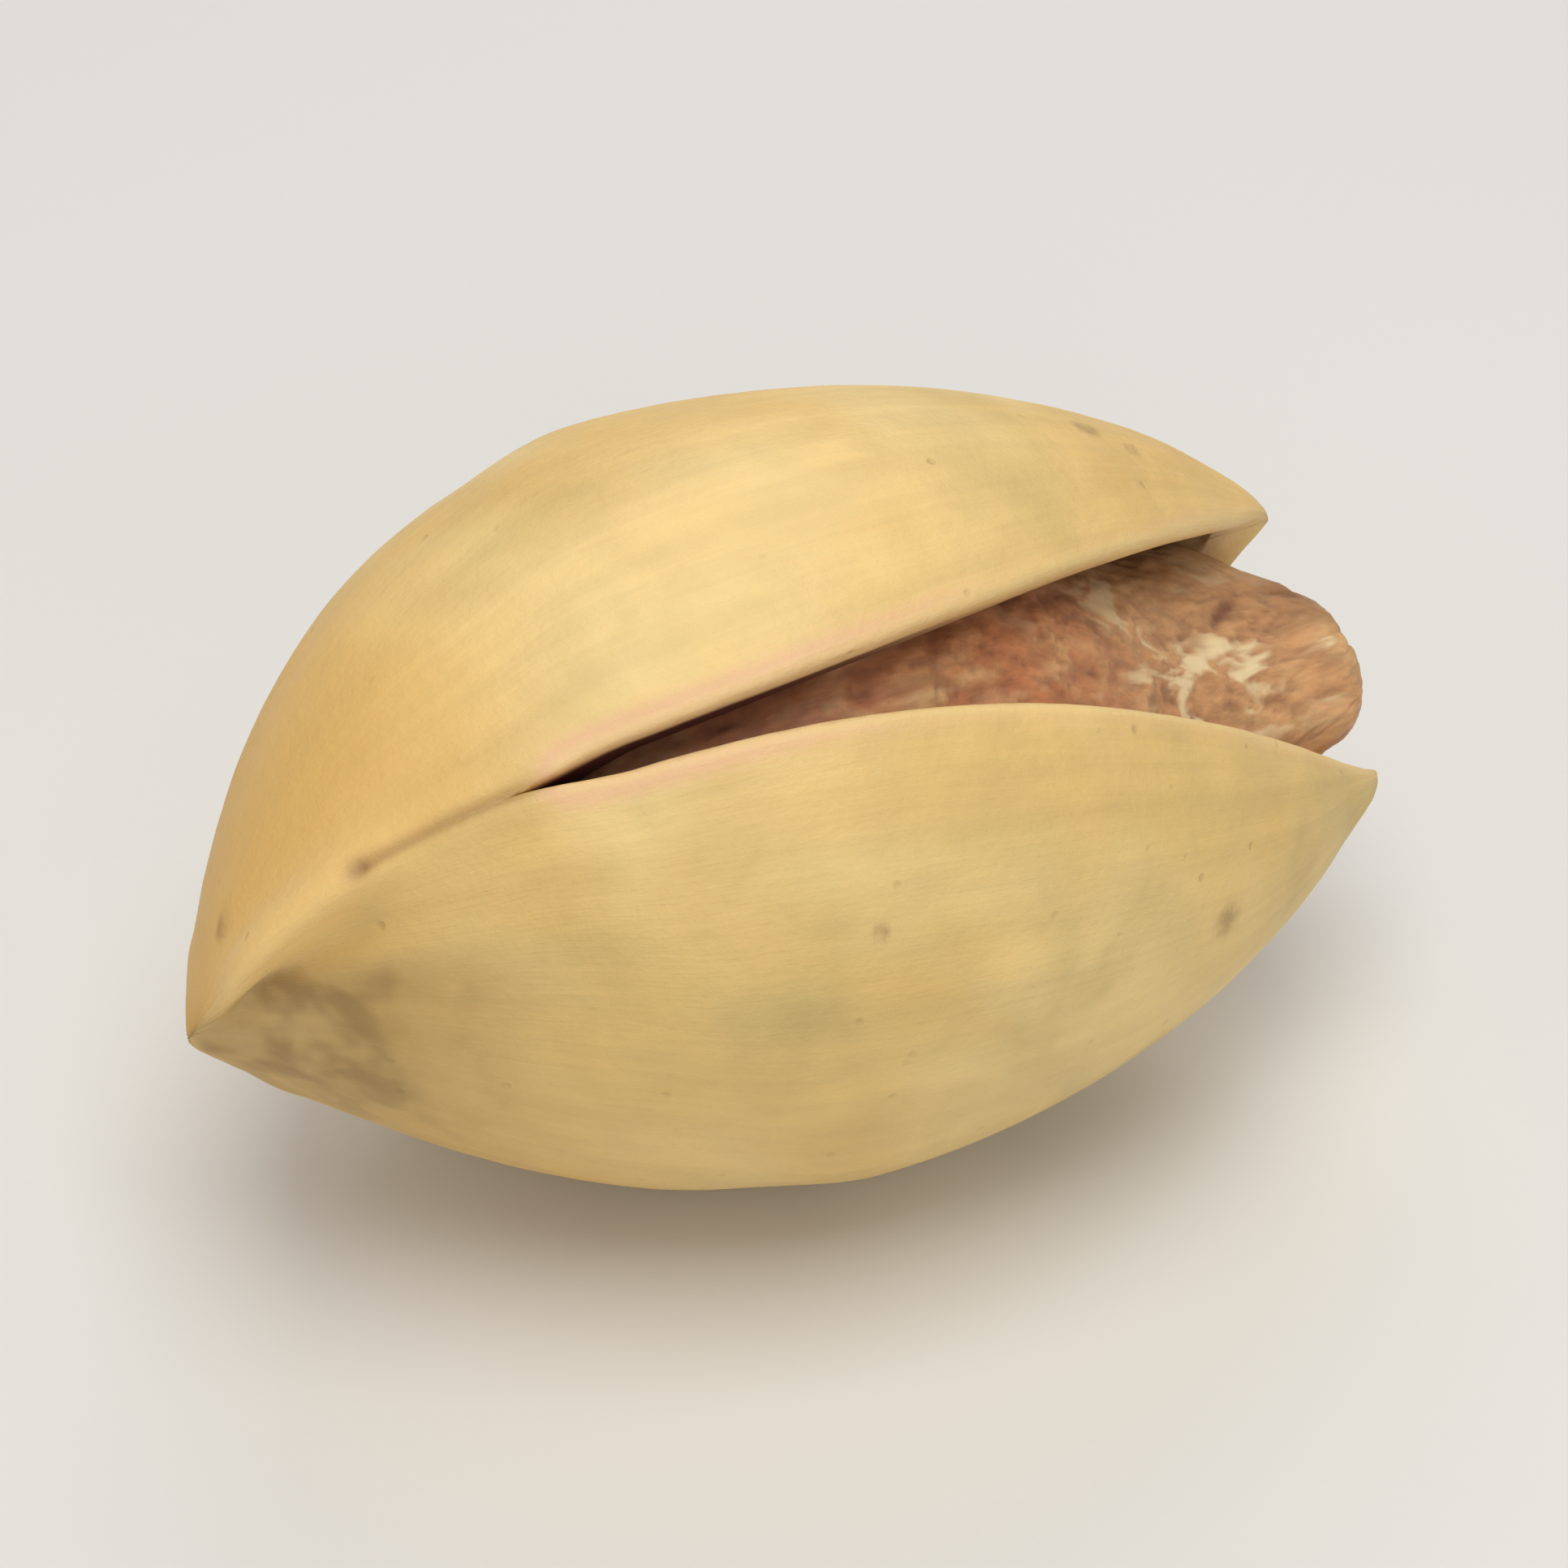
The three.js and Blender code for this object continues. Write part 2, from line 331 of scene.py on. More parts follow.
# ---------------------------------------------------------------- meshes
class Skin:
    """Grids of points welded into one closed mesh, with values carried on the points."""

    def __init__(self):
        self.points, self.faces, self.values = [], [], {}
        self.count = 0

    def add(self, grid, flipped, **values):
        rows, columns = grid.shape[:2]
        index = np.arange(rows * columns).reshape(rows, columns) + self.count
        corners = [index[:-1, :-1], index[1:, :-1], index[1:, 1:], index[:-1, 1:]]
        quads = np.stack(corners, -1).reshape(-1, 4)
        self.faces.append(quads[:, ::-1] if flipped else quads)
        self.points.append(grid.reshape(-1, 3))
        self.count += rows * columns
        for name, value in values.items():
            value = np.broadcast_to(value, grid.shape if np.ndim(value) == 3 else grid.shape[:2])
            self.values.setdefault(name, []).append(value.reshape(rows * columns, -1))

    def made(self, name):
        mesh = bpy.data.meshes.new(name)
        points = np.concatenate(self.points) * MM
        mesh.from_pydata(points.tolist(), [], np.concatenate(self.faces).tolist())
        for key, parts in self.values.items():
            value = np.concatenate(parts)
            wide = value.shape[1] == 3
            layer = mesh.attributes.new(key, "FLOAT_VECTOR" if wide else "FLOAT", "POINT")
            layer.data.foreach_set("vector" if wide else "value", value.astype(np.float32).ravel())
        shape = bmesh.new()
        shape.from_mesh(mesh)
        bmesh.ops.remove_doubles(shape, verts=shape.verts, dist=1e-9)
        bmesh.ops.dissolve_degenerate(shape, edges=shape.edges, dist=1e-9)
        shape.to_mesh(mesh)
        shape.free()
        mesh.polygons.foreach_set("use_smooth", [True] * len(mesh.polygons))
        mesh.update()
        return mesh


def placed(mesh, name):
    piece = bpy.data.objects.new(name, mesh)
    bpy.context.scene.collection.objects.link(piece)
    return piece


def grown(piece, tree, inputs):
    """Runs a node tree on a piece and keeps the result as a plain mesh."""
    modifier = piece.modifiers.new(tree.name, "NODES")
    modifier.node_group = tree
    sockets = {
        item.name: item.identifier for item in tree.interface.items_tree if item.in_out == "INPUT"
    }
    for name, value in inputs.items():
        modifier[sockets[name]] = value
    depsgraph = bpy.context.evaluated_depsgraph_get()
    result = bpy.data.meshes.new_from_object(piece.evaluated_get(depsgraph), depsgraph=depsgraph)
    piece.modifiers.remove(modifier)
    old = piece.data
    piece.data = result
    bpy.data.meshes.remove(old)
    result.name = piece.name
    return piece


# ---------------------------------------------------------------- node wiring
class Wires:
    """Adds nodes to a tree; inputs are values or the outputs of other nodes."""

    def __init__(self, tree):
        self.tree = tree

    def node(self, kind, inputs=None, **settings):
        made = self.tree.nodes.new(kind)
        for key, value in settings.items():
            setattr(made, key, value)
        for key, value in (inputs or {}).items():
            self.feed(made.inputs[key], value)
        return made

    def feed(self, socket, value):
        if isinstance(value, bpy.types.NodeSocket):
            self.tree.links.new(value, socket)
        elif value is not None:
            socket.default_value = value

    def add(self, first, second):
        return self.maths("ADD", first, second)

    def maths(self, operation, first, second=None, third=None, clamp=False):
        made = self.node("ShaderNodeMath", {0: first, 1: second, 2: third}, operation=operation)
        made.use_clamp = clamp
        return made.outputs[0]

    def times(self, first, *others):
        for value in others:
            first = self.maths("MULTIPLY", first, value)
        return first

    def vector(self, operation, first, second=None, scale=None):
        made = self.node("ShaderNodeVectorMath", {0: first}, operation=operation)
        if second is not None:
            self.feed(made.inputs[1], second)
        if scale is not None:
            self.feed(made.inputs["Scale"], scale)
        return made.outputs[0]

    def noise(self, place, scale, detail=2.0, roughness=0.5, distortion=0.0):
        inputs = {
            "Vector": place,
            "Scale": scale,
            "Detail": detail,
            "Roughness": roughness,
            "Distortion": distortion,
        }
        return self.node("ShaderNodeTexNoise", inputs, noise_dimensions="3D").outputs[0]

    def centred(self, *noise):
        """Noise that is about 0 on average."""
        return self.maths("SUBTRACT", self.noise(*noise), 0.5)

    def between(self, value, low, high, start=0.0, end=1.0):
        inputs = {"Value": value, "From Min": low, "From Max": high, "To Min": start, "To Max": end}
        return self.node("ShaderNodeMapRange", inputs, interpolation_type="SMOOTHSTEP").outputs[0]


class Paint(Wires):
    """A new material and its wires; a colour is three numbers or the output of a node."""

    def __init__(self, name):
        self.material = bpy.data.materials.new(name)
        self.material.use_nodes = True
        self.shader = self.material.node_tree.nodes["Principled BSDF"]
        super().__init__(self.material.node_tree)

    def set(self, name, value):
        self.feed(self.shader.inputs[name], value)

    def under_skin(self, weight, spread_by_colour, reach):
        """Light that goes in and comes out again nearby; reach is in mm."""
        self.set("Subsurface Weight", weight)
        self.set("Subsurface Radius", spread_by_colour)
        self.set("Subsurface Scale", reach * MM)

    def bump(self, height, strength, distance):
        """Texture too fine for the mesh; distance is in mm."""
        inputs = {"Strength": strength, "Distance": distance * MM, "Height": height}
        self.set("Normal", self.node("ShaderNodeBump", inputs).outputs[0])

    def mix(self, amount, first, second, blend="MIX"):
        made = self.node("ShaderNodeMix", data_type="RGBA", blend_type=blend)
        self.feed(made.inputs[0], amount)
        for index, value in ((6, first), (7, second)):
            if not isinstance(value, bpy.types.NodeSocket):
                value = (*value, 1.0)
            self.feed(made.inputs[index], value)
        return made.outputs[2]

    def shaded(self, colour_now, amount):
        """A colour made darker or lighter by a number."""
        grey = self.node("ShaderNodeCombineColor", {0: amount, 1: amount, 2: amount})
        return self.mix(1.0, colour_now, grey.outputs[0], "MULTIPLY")

    def attribute(self, name, output="Fac"):
        return self.node("ShaderNodeAttribute", attribute_name=name).outputs[output]


def new_tree(name, *numbers):
    tree = bpy.data.node_groups.new(name, "GeometryNodeTree")
    tree.interface.new_socket("Geometry", in_out="INPUT", socket_type="NodeSocketGeometry")
    for key in numbers:
        tree.interface.new_socket(key, in_out="INPUT", socket_type="NodeSocketFloat")
    tree.interface.new_socket("Geometry", in_out="OUTPUT", socket_type="NodeSocketGeometry")
    wires = Wires(tree)
    return wires, wires.node("NodeGroupInput").outputs


def close_tree(wires, geometry, material):
    real = wires.node("GeometryNodeRealizeInstances", {0: geometry}).outputs[0]
    done = wires.node("GeometryNodeSetMaterial", {"Geometry": real, "Material": material})
    wires.node("NodeGroupOutput", {0: done.outputs[0]})
    return wires.tree


def named(wires, name, kind="FLOAT"):
    made = wires.node("GeometryNodeInputNamedAttribute", {"Name": name}, data_type=kind)
    return made.outputs["Attribute"]


def moved(wires, geometry, height):
    """Moves the surface along its normal."""
    normal = wires.node("GeometryNodeInputNormal").outputs[0]
    offset = wires.vector("SCALE", normal, scale=height)
    made = wires.node("GeometryNodeSetPosition", {"Geometry": geometry, "Offset": offset})
    return made.outputs[0]


def kept(wires, geometry, name, value):
    """Stores a value on the points, for the material."""
    made = wires.node(
        "GeometryNodeStoreNamedAttribute",
        {"Geometry": geometry, "Name": name, "Value": value},
        data_type="FLOAT",
        domain="POINT",
    )
    return made.outputs[0]


# ---------------------------------------------------------------- shell
def joined_rows(sizes, along, around):
    """The number of rows at which the valves are still one at that seam."""
    edge = closed_valve(sizes, along, np.full_like(along, around), 1, 0)
    return int((swing(sizes, edge[:, 0], edge[:, 2], 1) == 0).sum())


def raised(shape, distance):
    """A rounded ridge, or a groove if its height is below 0."""
    height, width = shape
    return height * bell(distance, width)


def scar(points):
    """Distance from the stalk scar's middle, 1 at its rim."""
    return np.linalg.norm((points - np.array(SCAR_MIDDLE)) / np.array(SCAR_REACH), axis=-1)


def specks(sizes, points, side):
    """1 in the middle of a speck, 0 away from them."""
    found = np.zeros(points.shape[:2])
    for along, around, own_side, radius in SPECKS:
        if own_side == side:
            middle = closed_valve(sizes, along, around, side, 0)
            distance = np.linalg.norm(points - middle, axis=-1)
            found = np.maximum(found, 1 - smooth(0.3 * radius, 1.3 * radius, distance))
    return found


def shell_relief(sizes, points, along, around, side):
    """Heights, in mm, of what stands on or is cut into the outer face, and how far each colour
    reaches."""
    x = points[..., 0]
    half_girth = math.pi * np.abs(sizes["half_width"] * np.sin(math.pi * along))
    to_split = (1 - around) * half_girth
    to_back = around * half_girth
    to_pit = np.hypot(x - PIT_X, to_split)
    lower = 1.0 if side < 0 else 0.0
    by_base = smooth(0.05, 0.12, along) * (1 - smooth(*CREST_END, x))
    crest = by_base * raised(CREST, to_split)
    crack_run = smooth(PIT_X - 0.25, PIT_X + 0.05, x)
    crack_run = crack_run * (1 - smooth(SPLIT_FRONT + 0.7, SPLIT_FRONT + 1.8, x))
    crack = crack_run * raised(CRACK, to_split)
    pit = raised(PIT, to_pit)
    hollow = lower * by_base * raised(BESIDE_CREST, to_split - BESIDE_CREST_AT)
    back_run = smooth(0.12, 0.2, along) * (1 - smooth(SPLIT_BACK, SPLIT_BACK + 1, x))
    back = back_run * (raised(BACK_RIDGE, to_back) + raised(BACK_GROOVE, to_back))
    ring = scar(points)
    stalk = raised(SCAR_LIP, ring - 1.15) + raised(SCAR_GROOVE, ring - 0.82)
    stalk = stalk - SCAR_SUNK * (1 - smooth(0.3, 1.0, ring))
    # where the hollow beside the keel takes its brown mottling and painted shade
    under_keel = smooth(0.09, 0.20, 1 - around) * (1 - smooth(0.40, 0.85, 1 - around))
    under_keel = under_keel * smooth(0.0, 0.06, along) * (1 - smooth(-8.6, -4.6, x))
    return crest + crack + pit + hollow + back + stalk, {
        "crack": np.maximum(0.6 * crack_run * bell(to_split, 0.15), bell(to_pit, 0.19)),
        "hollow": lower * under_keel,
        "amber": (1 - smooth(-9.0, -2.5, x)) * (0.35 if side < 0 else 1.0),
        "keel": smooth(0.02, 0.1, along) * (1 - smooth(-8.0, -5.5, x)) * bell(to_split, 0.8),
        "scar": ring,
        "speck": specks(sizes, points, side),
    }


def rounded_edge(distance, radius):
    """How far a face is drawn in at a distance from a freed edge of that radius."""
    radius = np.maximum(radius, 1e-6)
    inside = np.clip(radius - distance, 0, radius)
    return radius - np.sqrt(radius**2 - inside**2)


def free_edges(points, normal, open_by, radius):
    """Rounds a face off along the edges that have come free, and gives the distance from them."""
    between = np.linalg.norm(np.diff(points, axis=1), axis=-1)
    run = np.concatenate([np.zeros((len(points), 1)), np.cumsum(between, 1)], 1)
    to_freed = np.full(run.shape, FAR)
    for column, distance in ((0, run), (-1, run[:, -1:] - run)):
        here = np.minimum(np.minimum(radius, 0.8 * open_by[:, column]), 0.12 * run[:, -1])
        points = points - normal * rounded_edge(distance, here[:, None])[..., None]
        freed = open_by[:, column, None] > 0
        to_freed = np.where(freed, np.minimum(to_freed, distance), to_freed)
    return points, to_freed


def valve_face(sizes, along, around, side, face):
    """The points of one face of a valve, and the values that its colours follow."""
    hull = closed_valve(sizes, along, around, side, 0)
    open_by = swing(sizes, hull[..., 0], hull[..., 2], side)
    points = closed_valve(sizes, along, around, side, 0 if face > 0 else 1)
    points[..., 1] += side * open_by
    normal = outward(points, side, face)
    marks = UNMARKED
    if face > 0:
        height, marks = shell_relief(sizes, hull, along, around, side)
        points = points + normal * height[..., None]
    points, to_freed = free_edges(points, normal, open_by, sizes["edge_round"])
    by_slit = (open_by > 0) * (1 - smooth(0.25, 0.8, open_by))
    return points, {
        **marks,
        "course": nut_course(along, around, side),
        "narrow": by_slit * smooth(-9, -5.9, hull[..., 0]),
        "edge": bell(to_freed, 0.45) * smooth(0, 0.12, open_by),
        "inside": 0.0 if face > 0 else 1.0,
        "side": 0.5 + 0.5 * side * np.abs(np.sin(math.pi * around)),
    }


def join_valves(upper, lower, last):
    """Makes two faces one at the base and along both seams, up to the last joined row."""
    for seam in (0, 1):
        together = slice(0, last[seam] + 1)
        mean = (upper[together, -seam] + lower[together, -seam]) / 2
        upper[together, -seam] = lower[together, -seam] = mean
    upper[0] = lower[0] = (upper[0].mean(0) + lower[0].mean(0)) / 2
    for grid in (upper, lower):
        grid[-1] = grid[-1].mean(0)


def shell_skin(sizes, steps):
    rows = spread(steps.rows, ROW_SPREAD)
    last = [joined_rows(sizes, rows, seam) - 1 for seam in (0, 1)]
    shift = resting_place(sizes)
    grids, carried = {}, {}
    for face, columns in ((1, steps.columns), (-1, steps.inner_columns)):
        along, around = np.meshgrid(rows, spread(columns, COLUMN_SPREAD), indexing="ij")
        for side in (1, -1):
            grids[face, side], carried[face, side] = valve_face(sizes, along, around, side, face)
        join_valves(grids[face, 1], grids[face, -1], last)

    skin = Skin()
    for (face, side), grid in grids.items():
        skin.add(laid_down(grid) + shift, side * face > 0, **carried[face, side])
    across = np.linspace(0, 1, steps.lip_columns + 1)[None, :, None]
    for side in (1, -1):
        for seam in (0, 1):
            freed = (slice(last[seam], None), -seam)
            outer, inner = (grids[face, side][freed][:, None] for face in (1, -1))
            lip = outer * (1 - across) + inner * across
            values = {**UNMARKED, "inside": across[..., 0], "side": 0.5}
            for key in ("course", "edge", "narrow"):
                values[key] = carried[1, side][key][freed][:, None]
            skin.add(laid_down(lip) + shift, side * (1 if seam else -1) > 0, **values)
    return skin


def shell_tree(material):
    wires, given = new_tree("shell_relief", "Rib height", "Dent height", "Grain height")
    course = named(wires, "course", "FLOAT_VECTOR")
    place = wires.node("GeometryNodeInputPosition").outputs[0]
    lengthwise = wires.vector("MULTIPLY", course, (1.0, 1.0, 0.16))
    broad = wires.centred(lengthwise, 7.0, 1.5, 0.5, 0.3)
    fine = wires.noise(lengthwise, 19.0, 2.0, 0.55, 0.4)
    ribs = wires.add(broad, wires.maths("MULTIPLY_ADD", fine, 0.7, -0.35))
    dents = wires.centred(place, 260.0, 1.0, 0.4)
    grain = wires.centred(place, 1300.0, 3.0, 0.55)
    height = wires.times(ribs, given["Rib height"])
    height = wires.maths("MULTIPLY_ADD", dents, given["Dent height"], height)
    height = wires.maths("MULTIPLY_ADD", grain, given["Grain height"], height)
    cover = wires.between(named(wires, "inside"), 0.0, 1.0, 1.0, 0.25)
    return close_tree(wires, moved(wires, given["Geometry"], wires.times(height, cover)), material)


def ground(paint, colours, place, lengthwise):
    """Cream with paler, duller and warmer patches, and faint streaks from base to tip."""
    patches = paint.between(paint.noise(place, 170.0, 2.0, 0.5, 0.4), 0.40, 0.66)
    colour_now = paint.mix(patches, colours.shell_cream, colours.shell_pale)
    elsewhere = paint.vector("ADD", place, (0.31, 0.12, 0.07))
    dull = paint.between(paint.noise(elsewhere, 210.0, 3.0, 0.55, 0.6), 0.50, 0.72)
    lower = paint.between(paint.attribute("side"), 0.3, 0.7, 1.0, 0.0)
    share = paint.maths("MULTIPLY_ADD", lower, 0.15, 0.35)
    dull = paint.maths("MULTIPLY_ADD", dull, share, paint.times(lower, 0.28))
    colour_now = paint.mix(dull, colour_now, colours.shell_grey)
    elsewhere = paint.vector("ADD", place, (0.05, 0.42, 0.2))
    warm = paint.between(paint.noise(elsewhere, 230.0, 2.0, 0.5, 0.5), 0.52, 0.74)
    colour_now = paint.mix(paint.times(warm, 0.30), colour_now, colours.shell_amber)

    streak = paint.between(paint.noise(lengthwise, 9.0, 3.0, 0.55, 0.5), 0.30, 0.70, 0.955, 1.035)
    fibre = paint.between(paint.noise(lengthwise, 45.0, 2.0, 0.6, 0.2), 0.25, 0.75, 0.985, 1.012)
    blotch = paint.between(paint.noise(place, 620.0, 3.0, 0.55, 0.3), 0.28, 0.72, 0.94, 1.045)
    return paint.shaded(colour_now, paint.times(streak, fibre, blotch))


def base_and_edges(paint, colours, place, colour_now):
    """Amber by the base, the keel's crest lighter (its yellower colour and a painted highlight),
    brown mottling and painted shade in the hollow beside it, and the tinged free edges.
    """
    amber = paint.times(paint.attribute("amber"), 0.85)
    colour_now = paint.mix(amber, colour_now, colours.shell_amber)
    # brown mottling and painted shade in the hollow under the keel
    mottle = paint.between(paint.noise(place, 900.0, 2.0, 0.5, 0.2), 0.40, 0.68, 0.55, 1.0)
    hollow_mottle_and_shade = paint.times(paint.attribute("hollow"), mottle, 0.85)
    colour_now = paint.mix(hollow_mottle_and_shade, colour_now, colours.shell_brown_and_shade)
    # keel crest lighter: its yellower colour and a painted highlight
    keel = paint.times(paint.attribute("keel"), 0.8)
    colour_now = paint.mix(keel, colour_now, colours.keel_tone_and_highlight)
    edge = paint.attribute("edge")
    pink = paint.maths("MULTIPLY_ADD", paint.attribute("narrow"), 0.7, 0.2)
    tinge = paint.times(paint.between(edge, 0.1, 0.8), pink)
    colour_now = paint.mix(tinge, colour_now, colours.shell_pink)
    return paint.mix(paint.between(edge, 0.55, 1.0, 0.0, 0.5), colour_now, colours.shell_pale)


def scar_crust(paint, colours, place, colour_now):
    """The stalk scar: a mottled plug with a dark groove round it."""
    wander = paint.maths("MULTIPLY_ADD", paint.noise(place, 1500.0), 0.3, -0.15)
    ring = paint.add(paint.attribute("scar"), wander)
    crust = paint.between(paint.noise(place, 2600.0, 4.0, 0.65), 0.35, 0.65)
    plug = paint.mix(crust, colours.scar_pale, colours.scar_brown)
    colour_now = paint.mix(paint.between(ring, 0.70, 0.86, 1.0, 0.0), colour_now, plug)
    within = paint.between(ring, 0.86, 1.1, 1.0, 0.0)
    groove = paint.times(paint.between(ring, 0.62, 0.82), within, 0.8)
    return paint.mix(groove, colour_now, colours.scar_rim)


def shell_material(colours):
    paint = Paint("shell_hull")
    place = paint.node("ShaderNodeTexCoord").outputs["Object"]
    lengthwise = paint.vector("MULTIPLY", paint.attribute("course", "Vector"), (1.0, 1.0, 0.12))
    colour_now = ground(paint, colours, place, lengthwise)
    colour_now = base_and_edges(paint, colours, place, colour_now)

    ragged = paint.between(paint.noise(place, 2600.0, 3.0, 0.6), 0.34, 0.60, 0.35, 1.0)
    speck = paint.times(paint.attribute("speck"), ragged, 0.62)
    colour_now = paint.mix(speck, colour_now, colours.shell_stain)
    pores = paint.node("ShaderNodeTexVoronoi", {"Vector": place, "Scale": 1700.0})
    pore = paint.between(pores.outputs["Distance"], 0.05, 0.17, 1.0, 0.0)
    pore = paint.times(pore, paint.between(pores.outputs["Color"], 0.6, 0.8))
    colour_now = paint.mix(paint.times(pore, 0.16), colour_now, colours.shell_brown_and_shade)
    colour_now = scar_crust(paint, colours, place, colour_now)

    crack = paint.maths("MULTIPLY", paint.attribute("crack"), 0.8, clamp=True)
    colour_now = paint.mix(crack, colour_now, colours.shell_stain)
    inside = paint.attribute("inside")
    # the inner face: its tan colour, darkened as painted shade
    lining = paint.between(inside, 0.5, 1.0, 0.0, 0.75)
    colour_now = paint.mix(lining, colour_now, colours.shell_inside_and_shade)
    # painted shade: the lip and inner faces go dark maroon where the split is narrow
    slit_shade_mask = paint.times(paint.between(inside, 0.05, 0.4), paint.attribute("narrow"))
    paint.set("Base Color", paint.mix(slit_shade_mask, colour_now, colours.slit_painted_shade))

    rough = paint.noise(place, 700.0, 3.0, 0.6)
    paint.set("Roughness", paint.between(rough, 0.3, 0.7, 0.47, 0.62))
    paint.under_skin(0.12, (1.0, 0.55, 0.25), 0.8)
    tooth = paint.times(paint.noise(place, 5200.0, 3.0, 0.6), 0.6)
    fibres = paint.times(paint.noise(lengthwise, 90.0, 2.0, 0.6), 0.25)
    texture = paint.maths("SUBTRACT", paint.add(tooth, fibres), paint.times(pore, 0.6))
    paint.bump(texture, 0.6, 0.08)
    return paint.material


def press_flat(piece):
    """The flank that the nut lies on is flat."""
    flat = np.empty(len(piece.data.vertices) * 3, np.float32)
    piece.data.vertices.foreach_get("co", flat)
    flat[2::3] = np.maximum(flat[2::3], 0)
    piece.data.vertices.foreach_set("co", flat)
    piece.data.update()


class PISTACHIO_OT_shell(bpy.types.Operator):
    """Grow the shell, its two valves joined at the base and down the back"""

    bl_idname = "pistachio.shell"
    bl_label = "Shell"

    def execute(self, context):
        settings = context.scene
        given = settings.pistachio_shell
        skin = shell_skin(in_mm(given), settings.pistachio_steps)
        piece = placed(skin.made("shell_valves"), "shell_valves")
        tree = shell_tree(shell_material(settings.pistachio_finishes))
        heights = {
            "Rib height": given.rib_height,
            "Dent height": given.dent_height,
            "Grain height": given.grain_height,
        }
        grown(piece, tree, heights)
        press_flat(piece)
        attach(piece, "root")
        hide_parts("shell")
        return {"FINISHED"}


# ---------------------------------------------------------------- kernel
def kernel_skin(sizes, shell, steps):
    """The kernel fills the hollow, swells between the valves and shows a blunt tip."""
    rows = spread(steps.kernel_rows, ROW_SPREAD)
    columns = np.linspace(0, 1, steps.kernel_columns // 2 + 1)
    along, around = np.meshgrid(rows, columns, indexing="ij")
    round_out = np.sin(math.pi * around)
    fullness = np.clip(np.sin(math.pi * along), 0, None)
    bluntness = smooth(0.7, 0.95, along) * (1 - 0.55 * smooth(0.92, 1, along))
    blunt = np.maximum(fullness, 1e-3) ** (-KERNEL_BLUNT * bluntness)
    depth = 1 + sizes["clearance"] / shell["wall"]
    shift = resting_place(shell)
    skin = Skin()
    for side in (1, -1):
        points = closed_valve(shell, along, around, side, depth)
        room = KERNEL_SWELL * swing(shell, points[..., 0], points[..., 2], side) * np.sqrt(fullness)
        points[..., 1] = blunt * points[..., 1] + side * room * round_out
        points[..., 1] -= sizes["sag"] * smooth(0.5, 1, along)
        if side > 0:
            points[..., 1] += sizes["shoulder"] * bell(along - 0.84, 0.05) * round_out
        points[..., 2] *= blunt
        points[..., 0] += sizes["reach"] * smooth(0.78, 1, along)
        for pole in (0, -1):
            points[pole] = points[pole].mean(0) * (1, 1, 0)
        course = nut_course(along, around, side)
        skin.add(laid_down(points) + shift, side > 0, course=course, along=along)
    return skin


def kernel_tree(material):
    wires, given = new_tree("kernel_wrinkles", "Wrinkle height", "Crease height")
    place = wires.node("GeometryNodeInputPosition").outputs[0]
    lengthwise = wires.vector("MULTIPLY", place, (0.42, 1.0, 1.0))
    broad = wires.centred(lengthwise, 420.0, 2.0, 0.5, 0.6)
    folds = wires.maths("ABSOLUTE", wires.centred(lengthwise, 950.0, 2.0, 0.55, 0.6))
    wrinkle = wires.add(broad, wires.maths("MULTIPLY_ADD", folds, -2.2, 0.25))
    crease = wires.centred(lengthwise, 2300.0, 4.0, 0.62, 0.5)
    net = wires.maths("ABSOLUTE", wires.centred(lengthwise, 1250.0, 2.0, 0.5, 1.0))
    vein = wires.between(net, 0.0, 0.05, 1.0, 0.0)
    height = wires.times(wrinkle, given["Wrinkle height"])
    height = wires.maths("MULTIPLY_ADD", crease, given["Crease height"], height)
    vein_depth = wires.times(given["Crease height"], -0.6)
    height = wires.maths("MULTIPLY_ADD", vein, vein_depth, height)
    geometry = kept(wires, given["Geometry"], "vein", vein)
    geometry = kept(wires, geometry, "crest", wires.add(wrinkle, wires.times(crease, 0.5)))
    return close_tree(wires, moved(wires, geometry, height), material)


